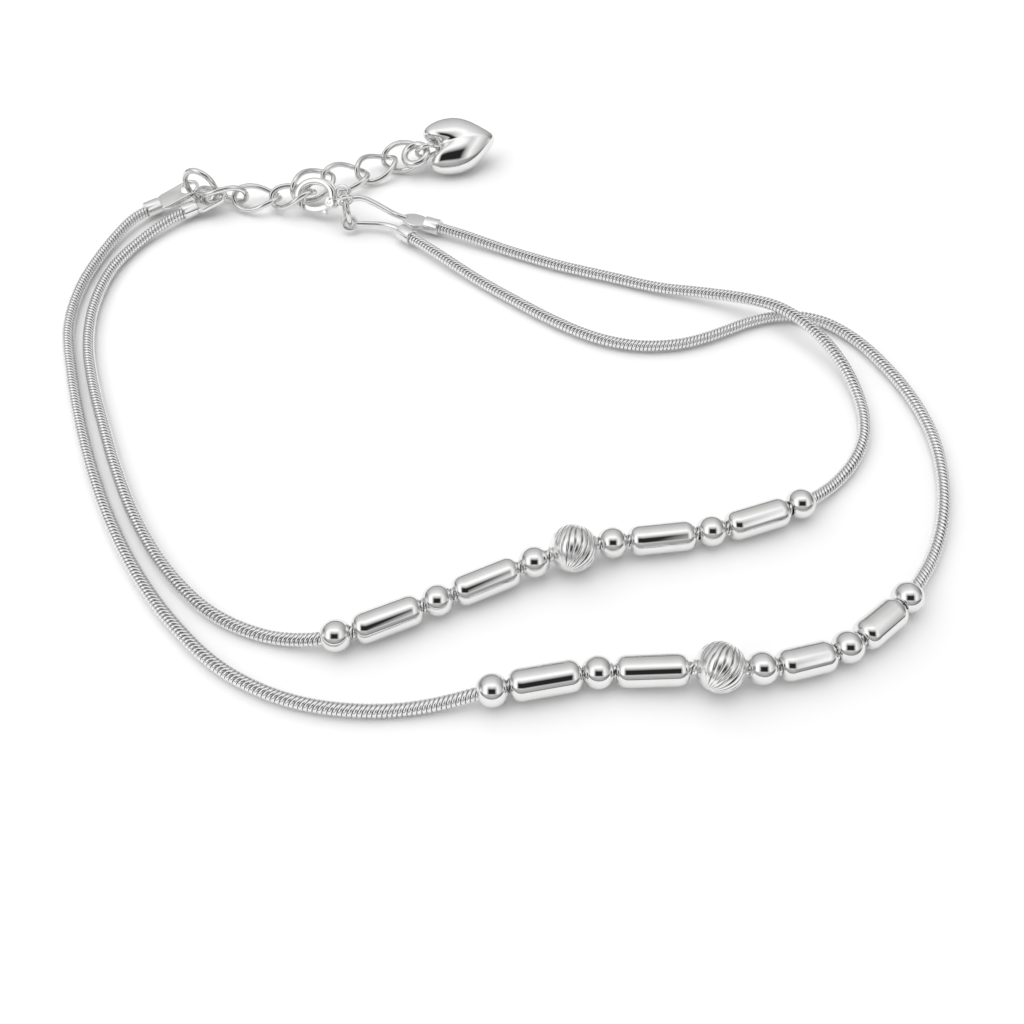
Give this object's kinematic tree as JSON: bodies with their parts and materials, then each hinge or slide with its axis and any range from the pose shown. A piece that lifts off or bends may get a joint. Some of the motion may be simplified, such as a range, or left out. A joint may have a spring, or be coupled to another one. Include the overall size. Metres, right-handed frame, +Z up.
{
  "type": "double-strand payal anklet",
  "caption": "Double-strand silver payal anklet: snake chains strung with round, tube and swirl beads, an extender chain with a puffed heart drop and a lobster clasp.",
  "frame": {"origin": "centre of the footprint of the anklet as it lies on a table, at the height of the table", "axes": "+Z up from the table; +X along the anklet's longer side, towards the right as seen from the bead rows; +Y from the bead rows towards the clasp"},
  "size_m": [0.0972, 0.0846, 0.0054],
  "materials": {
    "silver": "polished sterling silver",
    "silver_chain": "bright snake chain of fine polished plates"
  },
  "bodies": {
    "anklet": {"chain_inner": "silver_chain", "inner_bead_01_round": "silver", "inner_bead_02_tube": "silver", "inner_bead_03_round": "silver", "inner_bead_04_tube": "silver", "inner_bead_05_round": "silver", "inner_bead_06_swirl": "silver", "inner_bead_07_round": "silver", "inner_bead_08_tube": "silver", "inner_bead_09_round": "silver", "inner_bead_10_tube": "silver", "inner_bead_11_round": "silver", "chain_outer": "silver_chain", "outer_bead_01_round": "silver", "outer_bead_02_tube": "silver", "outer_bead_03_round": "silver", "outer_bead_04_tube": "silver", "outer_bead_05_swirl": "silver", "outer_bead_06_round": "silver", "outer_bead_07_tube": "silver", "outer_bead_08_round": "silver", "outer_bead_09_tube": "silver", "outer_bead_10_round": "silver", "ring_left": "silver", "cap_outer_left": "silver", "cap_inner_left": "silver", "ring_right": "silver", "cap_inner_right": "silver", "cap_outer_right": "silver", "extender_link_1": "silver", "extender_link_2": "silver", "extender_link_3": "silver", "extender_link_4": "silver", "extender_link_5": "silver", "extender_link_6": "silver", "extender_link_7": "silver", "clasp_body": "silver", "drop_ring": "silver", "drop_heart": "silver"},
    "clasp_lever": {"clasp_lever": "silver"}
  },
  "joints": [
    {"name": "clasp_lever_hinge", "type": "hinge", "parent": "anklet", "child": "clasp_lever", "pos_m": [-0.01919, 0.02717, 0.00246], "axis": [0.3352, 0.7286, -0.5974], "range_deg": [0, 15], "stiffness_Nm_per_rad": 0.002, "springref_deg": -8.59}
  ]
}
